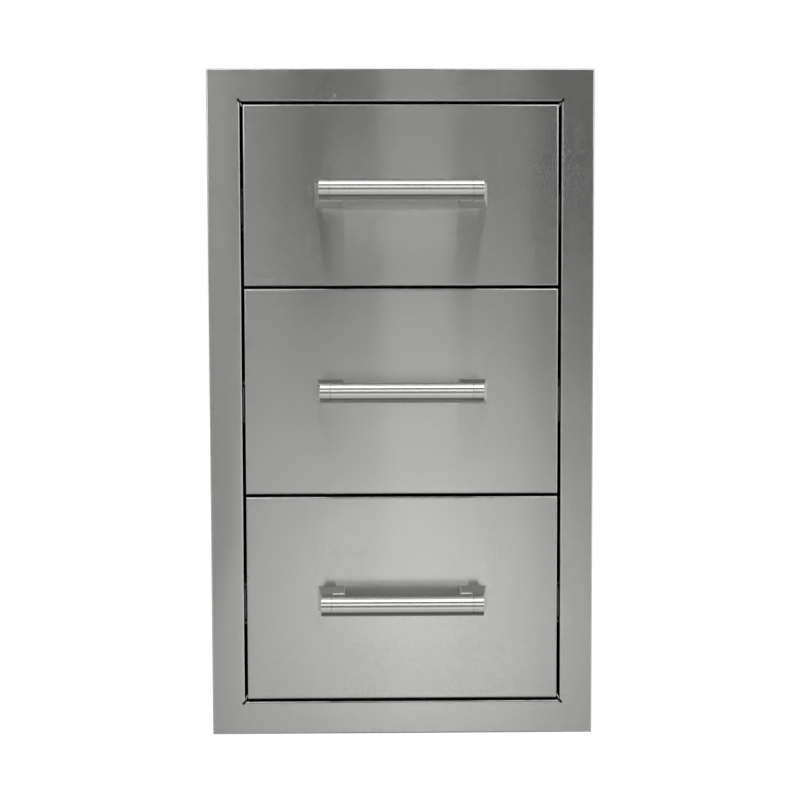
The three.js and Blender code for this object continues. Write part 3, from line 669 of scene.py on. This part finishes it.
# Handle brackets: investment castings with a broad foot, an arm at its outer end and a round
# head that carries on the tube, ground and brushed. A spigot on the head fits inside the tube.
HEAD_LENGTH = 0.0115
HEAD_EDGE = 0.0006
HEAD_EDGE_SEGMENTS = 3
SPIGOT_LENGTH = 0.010
SPIGOT_RADIUS = 0.0092
SPIGOT_ROOT = 0.002
FIT_GAP = 0.0003
FOOT_DEPTH = 0.019
FOOT_LENGTH = 0.031
ARM_HEIGHT = 0.0198
CAST_ROUNDING = 0.0012
CAST_SEGMENTS = 4
CAST_CORNER_ANGLE = 20
FACING = 0.9
CAST_GREY = "CACBC8"
SIDES = {"left": -1, "right": 1}


def ground_casting():
    """Cast stainless, ground and satin brushed by hand: even and soft, with a faint mottle."""
    metal, tree, place = new_metal("ground_stainless_casting")
    mottle_size = 0.002
    mottle_depth = 0.000004
    mottle = add(tree, "ShaderNodeTexNoise", {"Vector": place, "Scale": 1 / mottle_size, "Detail": 4.0})
    tint = add(tree, "ShaderNodeMapRange", {"Value": mottle, "To Min": 0.95, "To Max": 1.04})
    base = add(tree, "ShaderNodeVectorMath", {
        0: colour(CAST_GREY)[:3], "Scale": tint,
    }, operation="SCALE")
    rough = add(tree, "ShaderNodeMapRange", {"Value": mottle, "To Min": 0.26, "To Max": 0.31})
    grain = add(tree, "ShaderNodeBump", {"Height": mottle, "Distance": mottle_depth, "Strength": 1.0})
    lengthways = add(tree, "ShaderNodeCombineXYZ", {"X": 1.0, "Y": 0.1})
    shader = add(tree, "ShaderNodeBsdfPrincipled", {
        "Base Color": base, "Metallic": 1.0, "Roughness": rough, "Anisotropic": 1.0,
        "Tangent": lengthways, "Normal": grain,
    })
    add(tree, "ShaderNodeOutputMaterial", {"Surface": shader})
    return metal


def bracket_casting(name, low, high, side):
    """Foot, arm, head and spigot of one bracket, in the box of its CAD node."""
    tube_low, tube_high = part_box("handle_tube_top")
    bar_y = low.y + (tube_high.z - tube_low.z) / 2
    radius = bar_y - low.y
    outer = max(abs(low.x), abs(high.x))
    reach = high.y - bar_y
    head_end = tube_high.x + FIT_GAP + HEAD_LENGTH
    head_start = head_end - HEAD_LENGTH
    foot_near = outer - FOOT_LENGTH
    foot_y = high.y + FIT_GAP - FOOT_DEPTH
    middle_z = (low.z + high.z) / 2
    tall = high.z - low.z

    def flare_at(y):
        return head_end + (outer - head_end) * (y - bar_y) / reach

    def faces_user(face):
        return face.normal.y < -FACING

    def free_corner(edge):
        """A sharp edge that lies neither round the seat nor where the head joins the arm."""
        held = all(near(v.co.y, high.y) or near(v.co.y, bar_y) for v in edge.verts)
        return not held and edge.calc_face_angle(0) > math.radians(CAST_CORNER_ANGLE)

    bpy.ops.object.select_all(action="DESELECT")
    bpy.ops.mesh.primitive_cube_add(
        size=1, location=((foot_near + outer) / 2, (foot_y + high.y) / 2, middle_z))
    casting = bpy.context.object
    casting.name = name
    bpy.ops.object.mode_set(mode="EDIT")
    bpy.ops.transform.resize(value=(outer - foot_near, high.y - foot_y, tall))
    bpy.ops.object.mode_set(mode="OBJECT")
    bpy.ops.object.transform_apply(location=True, rotation=True, scale=True)
    bpy.ops.object.mode_set(mode="EDIT")
    select("FACE", faces_user)
    bpy.ops.transform.resize(value=(1, 1, ARM_HEIGHT / tall))
    select("VERT", lambda v: near(v.co.y, foot_y) and near(v.co.x, outer))
    bpy.ops.transform.translate(value=(flare_at(foot_y) - outer, 0, 0))
    select("FACE", lambda face: True)
    bpy.ops.mesh.bisect(plane_co=(head_start, 0, 0), plane_no=(1, 0, 0))
    select("FACE", lambda face: faces_user(face) and face.calc_center_median().x > head_start)
    bpy.ops.mesh.extrude_region_move(TRANSFORM_OT_translate={"value": (0, bar_y - foot_y, 0)})
    select("VERT", lambda v: near(v.co.y, bar_y) and v.co.x > head_start + TOLERANCE)
    bpy.ops.transform.translate(value=(head_end - flare_at(foot_y), 0, 0))
    select("EDGE", free_corner)
    bpy.ops.mesh.bevel(offset=CAST_ROUNDING, segments=CAST_SEGMENTS, affect="EDGES")
    bpy.ops.object.mode_set(mode="OBJECT")
    head = (head_start, head_end, radius)
    spigot = (head_start - SPIGOT_LENGTH, head_start + SPIGOT_ROOT, SPIGOT_RADIUS)
    for start, end, size in (head, spigot):
        bpy.ops.object.select_all(action="DESELECT")
        bpy.ops.mesh.primitive_cylinder_add(
            vertices=TUBE_SIDES, radius=size, depth=end - start,
            location=((start + end) / 2, bar_y, middle_z), rotation=(0, math.pi / 2, 0))
        turned = bpy.context.object
        bpy.ops.object.transform_apply(location=True, rotation=True, scale=True)
        bpy.ops.object.mode_set(mode="EDIT")
        rounded = end if size == radius else start
        select("EDGE", all_ends(lambda place: near(place.x, rounded)))
        bpy.ops.mesh.bevel(offset=HEAD_EDGE, segments=HEAD_EDGE_SEGMENTS, affect="EDGES")
        bpy.ops.object.mode_set(mode="OBJECT")
        cut(casting, turned, "UNION")
    # The left bracket is the right one's mirror image.
    if side < 0:
        make_active(casting)
        casting.scale.x = -1
        bpy.ops.object.transform_apply(location=True, rotation=True, scale=True)
        bpy.ops.object.mode_set(mode="EDIT")
        bpy.ops.mesh.select_all(action="SELECT")
        bpy.ops.mesh.normals_make_consistent(inside=False)
        bpy.ops.object.mode_set(mode="OBJECT")
    smooth(casting)
    return casting


cast_steel = ground_casting()
for drawer in DRAWERS:
    for side_name, side in SIDES.items():
        node = f"handle_bracket_{drawer}_{side_name}"
        bracket = bracket_casting(f"{node}_casting", *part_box(node), side)
        bracket.data.materials.append(cast_steel)
        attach(bracket, f"drawer_{drawer}")
        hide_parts(node)

# Slides: each has three tracks of cold rolled steel strip that run in each other. The outer one is
# riveted to the case, the inner one is screwed to the tub, and the middle one runs between them.
TRACK_GREY = "C4C6C7"
TRACK_ROUGHNESS = 0.22


def rolled_track(name, grey, roughness):
    """Cold rolled and bright drawn steel, which shines with faint lines along the slide."""
    metal, tree, place = new_metal(name)
    line_width = 0.0006
    line_length = 0.06
    roughness_spread = 0.08
    drawn = add(tree, "ShaderNodeMapping", {
        "Vector": place, "Scale": (1 / line_width, 1 / line_length, 1 / line_width),
    })
    lines = add(tree, "ShaderNodeTexNoise", {"Vector": drawn, "Scale": 1.0, "Detail": 2.0})
    tint = add(tree, "ShaderNodeMapRange", {"Value": lines, "To Min": 0.94, "To Max": 1.05})
    base = add(tree, "ShaderNodeVectorMath", {0: colour(grey)[:3], "Scale": tint}, operation="SCALE")
    rough = add(tree, "ShaderNodeMapRange", {
        "Value": lines, "To Min": roughness, "To Max": roughness + roughness_spread,
    })
    shader = add(tree, "ShaderNodeBsdfPrincipled", {
        "Base Color": base, "Metallic": 1.0, "Roughness": rough,
    })
    add(tree, "ShaderNodeOutputMaterial", {"Surface": shader})
    return metal


track_steel = rolled_track("bright_rolled_track", TRACK_GREY, TRACK_ROUGHNESS)
for drawer in DRAWERS:
    for side_name in SIDES:
        for track in ("outer", "middle", "inner"):
            finish_node(f"slide_{track}_{drawer}_{side_name}", track_steel)

# Ball cages: a pressed strip that wraps the track inside it, with rows of chrome steel balls held
# in its top and bottom edges. The balls roll between two tracks and carry the drawer.
CAGE_SHEET = 0.0006
CAGE_BEND = 0.0009
CAGE_BEND_SEGMENTS = 3
CAGE_BALLS = {"outer": 0.003, "inner": 0.0024}
BALLS_PER_ROW = 9
BALL_DEPTH_SHARE = 0.41
BALL_SEGMENTS = 12
BALL_RINGS = 8
BALL_GREY = "D4D6D8"
BALL_ROUGHNESS = 0.08
CAGE_GREY = "9C9EA0"
CAGE_ROUGHNESS = 0.3


def repeat(piece, count, step):
    """Repeats the shape in a row, in the same mesh."""
    apply_modifier(piece, "ARRAY", count=count, use_relative_offset=False,
                   use_constant_offset=True, constant_offset_displace=step)


cage_steel = rolled_track("ball_cage_strip", CAGE_GREY, CAGE_ROUGHNESS)
ball_steel = rolled_track("chrome_steel_balls", BALL_GREY, BALL_ROUGHNESS)
for drawer in DRAWERS:
    for side_name, side in SIDES.items():
        for cage, ball in CAGE_BALLS.items():
            node = f"cage_{cage}_{drawer}_{side_name}"
            low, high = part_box(node)
            middle = (low + high) / 2
            wall_x = high.x if side > 0 else low.x
            edge_x = low.x if side > 0 else high.x
            row = (high.z - low.z - ball) / 2
            bpy.ops.object.select_all(action="DESELECT")
            bpy.ops.mesh.primitive_plane_add(
                size=1, location=(wall_x, middle.y, middle.z), rotation=(0, side * math.pi / 2, 0))
            strip = bpy.context.object
            strip.name = f"{node}_strip"
            bpy.ops.object.mode_set(mode="EDIT")
            bpy.ops.transform.resize(value=(1, high.y - low.y, 2 * row + CAGE_SHEET))
            bpy.ops.object.mode_set(mode="OBJECT")
            bpy.ops.object.transform_apply(location=True, rotation=True, scale=True)
            bpy.ops.object.mode_set(mode="EDIT")
            select("EDGE", lambda e: near(e.verts[0].co.z, e.verts[1].co.z))
            bpy.ops.mesh.extrude_region_move(
                TRANSFORM_OT_translate={"value": (edge_x - wall_x, 0, 0)})
            select("EDGE", lambda e: near(e.verts[0].co.x, wall_x) and near(e.verts[1].co.x, wall_x)
                   and near(e.verts[0].co.z, e.verts[1].co.z))
            bpy.ops.mesh.bevel(offset=CAGE_BEND, segments=CAGE_BEND_SEGMENTS, affect="EDGES")
            bpy.ops.object.mode_set(mode="OBJECT")
            apply_modifier(strip, "SOLIDIFY", thickness=CAGE_SHEET, offset=-1, use_even_offset=True)
            smooth(strip)
            spacing = (high.y - low.y) / BALLS_PER_ROW
            bpy.ops.object.select_all(action="DESELECT")
            bpy.ops.mesh.primitive_uv_sphere_add(
                segments=BALL_SEGMENTS, ring_count=BALL_RINGS, radius=ball / 2,
                location=(edge_x + BALL_DEPTH_SHARE * (wall_x - edge_x), low.y + spacing / 2,
                          middle.z - row))
            balls = bpy.context.object
            balls.name = f"{node}_balls"
            bpy.ops.object.transform_apply(location=True, rotation=True, scale=True)
            bpy.ops.object.shade_smooth()
            repeat(balls, BALLS_PER_ROW, (0, spacing, 0))
            repeat(balls, 2, (0, 0, 2 * row))
            strip.data.materials.append(cage_steel)
            balls.data.materials.append(ball_steel)
            for piece in (strip, balls):
                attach(piece, f"{cage}_cages_{drawer}")
                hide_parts(node)

# Fasteners: stainless button head screws and washers that hold the handles, truss head screws
# that hold the slides to the tubs, and blind rivets that hold them to the case.
SCREW_SIDES = 32
RIM_SEGMENTS = 4
HANDLE_HEAD_RADIUS = 0.00475
HANDLE_HEAD_HEIGHT = 0.0027
HANDLE_HEAD_RIM = 0.0016
WASHER_RADIUS = 0.0062
WASHER_HEIGHT = 0.001
WASHER_RIM = 0.0002
SOCKET_RADIUS = 0.00175
SOCKET_DEPTH = 0.0016
SOCKET_SIDES = 6
SLIDE_HEAD_RADIUS = 0.004
SLIDE_HEAD_HEIGHT = 0.0016
SLIDE_HEAD_RIM = 0.0009
RECESS_WIDTH = 0.0009
RECESS_LENGTH = 0.0036
RECESS_DEPTH = 0.001
RIVET_RADIUS = 0.0033
RIVET_HEIGHT = 0.0011
RIVET_RIM = 0.0008
RIVET_PIN_RADIUS = 0.0009
RIVET_PIN_SIDES = 12
SINK = 0.0001
HANDLE_SCREW_X = 0.0803
TUB_INSIDE_X = 0.1665
SLIDE_HOLE_SHARES = (0.09, 0.5, 0.91)
FASTENER_GREY = "C6C6C4"


def tumbled_fastener():
    """Plain stainless fasteners, tumbled after forming, so they are bright with a soft edge."""
    metal, tree, place = new_metal("tumbled_stainless_fastener")
    mark_size = 0.0006
    marks = add(tree, "ShaderNodeTexNoise", {"Vector": place, "Scale": 1 / mark_size, "Detail": 2.0})
    tint = add(tree, "ShaderNodeMapRange", {"Value": marks, "To Min": 0.9, "To Max": 1.06})
    base = add(tree, "ShaderNodeVectorMath", {
        0: colour(FASTENER_GREY)[:3], "Scale": tint,
    }, operation="SCALE")
    rough = add(tree, "ShaderNodeMapRange", {"Value": marks, "To Min": 0.2, "To Max": 0.34})
    shader = add(tree, "ShaderNodeBsdfPrincipled", {
        "Base Color": base, "Metallic": 1.0, "Roughness": rough,
    })
    add(tree, "ShaderNodeOutputMaterial", {"Surface": shader})
    return metal


def turned_head(name, place, way, radius, height, rim, sides=SCREW_SIDES):
    """A round head that stands on a surface and points one way, its rim rounded or left sharp."""
    turn = way.to_track_quat("Z", "Y").to_euler()
    bpy.ops.object.select_all(action="DESELECT")
    bpy.ops.mesh.primitive_cylinder_add(
        vertices=sides, radius=radius, depth=height + SINK, rotation=turn,
        location=place + (height - SINK) / 2 * way)
    head = bpy.context.object
    head.name = name
    bpy.ops.object.transform_apply(location=True, rotation=True, scale=True)
    if rim:
        bpy.ops.object.mode_set(mode="EDIT")
        select("EDGE", all_ends(lambda point: near((point - place).dot(way), height)))
        bpy.ops.mesh.bevel(offset=rim, segments=RIM_SEGMENTS, affect="EDGES")
        bpy.ops.object.mode_set(mode="OBJECT")
    return head


fastener_steel = tumbled_fastener()
for drawer in DRAWERS:
    tube_low, tube_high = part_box(f"handle_tube_{drawer}")
    liner_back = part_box(f"front_liner_{drawer}")[1].y
    seat = Vector((-HANDLE_SCREW_X, liner_back, (tube_low.z + tube_high.z) / 2))
    inward = Vector((0, 1, 0))
    washer = turned_head(f"handle_screws_{drawer}", seat, inward,
                         WASHER_RADIUS, WASHER_HEIGHT, WASHER_RIM)
    top = seat + WASHER_HEIGHT * inward
    head = turned_head("head", top, inward, HANDLE_HEAD_RADIUS, HANDLE_HEAD_HEIGHT, HANDLE_HEAD_RIM)
    cut(washer, head, "UNION")
    socket_floor = top + (HANDLE_HEAD_HEIGHT - SOCKET_DEPTH) * inward
    socket = turned_head("socket", socket_floor, inward,
                         SOCKET_RADIUS, 2 * SOCKET_DEPTH, 0, SOCKET_SIDES)
    cut(washer, socket)
    repeat(washer, 2, (2 * HANDLE_SCREW_X, 0, 0))
    smooth(washer)
    washer.data.materials.append(fastener_steel)
    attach(washer, f"drawer_{drawer}")
    for side_name, side in SIDES.items():
        slide_low, slide_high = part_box(f"slide_inner_{drawer}_{side_name}")
        panel_low, panel_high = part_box(f"side_panel_{side_name}")
        length = slide_high.y - slide_low.y
        first = slide_low.y + SLIDE_HOLE_SHARES[0] * length
        spacing = (SLIDE_HOLE_SHARES[1] - SLIDE_HOLE_SHARES[0]) * length
        height = (slide_low.z + slide_high.z) / 2
        inward = Vector((-side, 0, 0))
        seat = Vector((side * TUB_INSIDE_X, first, height))
        screws = turned_head(f"slide_screws_{drawer}_{side_name}", seat, inward,
                             SLIDE_HEAD_RADIUS, SLIDE_HEAD_HEIGHT, SLIDE_HEAD_RIM)
        for wide, tall in ((RECESS_WIDTH, RECESS_LENGTH), (RECESS_LENGTH, RECESS_WIDTH)):
            bpy.ops.object.select_all(action="DESELECT")
            bpy.ops.mesh.primitive_cube_add(size=1, location=seat + SLIDE_HEAD_HEIGHT * inward)
            recess = bpy.context.object
            recess.scale = (2 * RECESS_DEPTH, wide, tall)
            bpy.ops.object.transform_apply(location=True, rotation=True, scale=True)
            cut(screws, recess)
        repeat(screws, len(SLIDE_HOLE_SHARES), (0, spacing, 0))
        smooth(screws)
        screws.data.materials.append(fastener_steel)
        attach(screws, f"drawer_{drawer}")
        outward = Vector((side, 0, 0))
        seat = Vector((panel_high.x if side > 0 else panel_low.x, first, height))
        rivets = turned_head(f"slide_rivets_{drawer}_{side_name}", seat, outward,
                             RIVET_RADIUS, RIVET_HEIGHT, RIVET_RIM)
        pin = turned_head("pin", seat + RIVET_HEIGHT / 2 * outward, outward,
                          RIVET_PIN_RADIUS, RIVET_HEIGHT, 0, RIVET_PIN_SIDES)
        cut(rivets, pin)
        repeat(rivets, len(SLIDE_HOLE_SHARES), (0, spacing, 0))
        smooth(rivets)
        rivets.data.materials.append(fastener_steel)
        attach(rivets, "case")

low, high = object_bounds()
